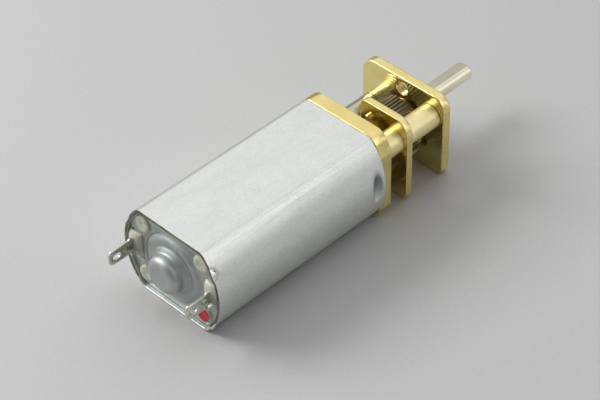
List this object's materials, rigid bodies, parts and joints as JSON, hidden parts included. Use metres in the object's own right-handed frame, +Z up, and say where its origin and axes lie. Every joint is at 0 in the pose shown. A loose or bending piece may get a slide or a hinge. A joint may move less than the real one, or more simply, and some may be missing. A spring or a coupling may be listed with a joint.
{
  "type": "gearmotor",
  "caption": "Small flat-sided brushed DC motor with an open brass spur gearbox and a D-shaped output shaft; solder blades at the rear.",
  "frame": {"origin": "on the output shaft's axis, at the gearbox's front face, midway between the two tapped mounting holes", "axes": "+X along the output shaft away from the motor, +Z up, square to the can's flat top, +Y across"},
  "size_m": [0.0534, 0.0154, 0.012],
  "materials": {
    "can_steel": "satin zinc-plated sheet steel, drawn lengthwise",
    "end_plate_steel": "matt zinc-plated stamped steel",
    "nylon": "natural translucent nylon",
    "tinned_terminal": "bright tinned",
    "brush_bronze": "phosphor bronze spring leaf",
    "sintered_bronze": "oil-filled sintered bronze",
    "ferrite": "dark moulded ferrite",
    "core_steel": "varnished laminations",
    "copper_wire": "enamelled copper wire",
    "commutator_copper": "polished copper",
    "moulding": "dark moulded plastic",
    "rotor_steel": "ground steel",
    "plate_brass": "satin machined brass",
    "post_brass": "turned brass",
    "post_steel": "nickel-plated steel",
    "screw_steel": "zinc-plated steel",
    "gear_steel": "oiled dark steel",
    "gear_brass": "hobbed brass",
    "shaft_steel": "ground steel",
    "washer_steel": "stamped steel"
  },
  "bodies": {
    "housing": {"motor_can": "can_steel", "end_plate": "end_plate_steel", "brush_holder": "nylon", "terminal_left": "tinned_terminal", "terminal_right": "tinned_terminal", "brush_left": "brush_bronze", "brush_right": "brush_bronze", "rear_bearing": "sintered_bronze", "front_bearing": "sintered_bronze", "magnet_left": "ferrite", "magnet_right": "ferrite", "rear_plate": "plate_brass", "middle_plate": "plate_brass", "front_plate": "plate_brass", "short_post": "post_brass", "upper_post": "post_brass", "long_post": "post_steel", "assembly_screws": "screw_steel", "motor_screws": "screw_steel", "idler_pin": "rotor_steel", "small_pin": "post_brass", "front_bush": "sintered_bronze"},
    "rotor": {"motor_shaft": "rotor_steel", "armature_core": "core_steel", "windings": "copper_wire", "commutator": "commutator_copper", "commutator_sleeve": "moulding", "thrust_washers": "washer_steel", "motor_pinion": "gear_brass"},
    "idler": {"idler_wheel": "gear_brass", "idler_pinion": "gear_steel"},
    "output": {"output_shaft": "shaft_steel", "output_wheel": "gear_steel", "output_washer": "washer_steel"}
  },
  "joints": [
    {"name": "rotor_spin", "type": "hinge", "parent": "housing", "child": "rotor", "pos_m": [-0.025, 0, 0], "axis": [1, 0, 0], "continuous": true},
    {"name": "idler_spin", "type": "hinge", "parent": "housing", "child": "idler", "pos_m": [-0.006, -0.0026, -0.00281], "axis": [1, 0, 0], "continuous": true},
    {"name": "output_spin", "type": "hinge", "parent": "housing", "child": "output", "pos_m": [-0.003, 0, 0], "axis": [1, 0, 0], "continuous": true}
  ],
  "couplings": [
    {"joint": "idler_spin", "follows": "rotor_spin", "ratio": -0.30769},
    {"joint": "output_spin", "follows": "rotor_spin", "ratio": 0.094675}
  ]
}
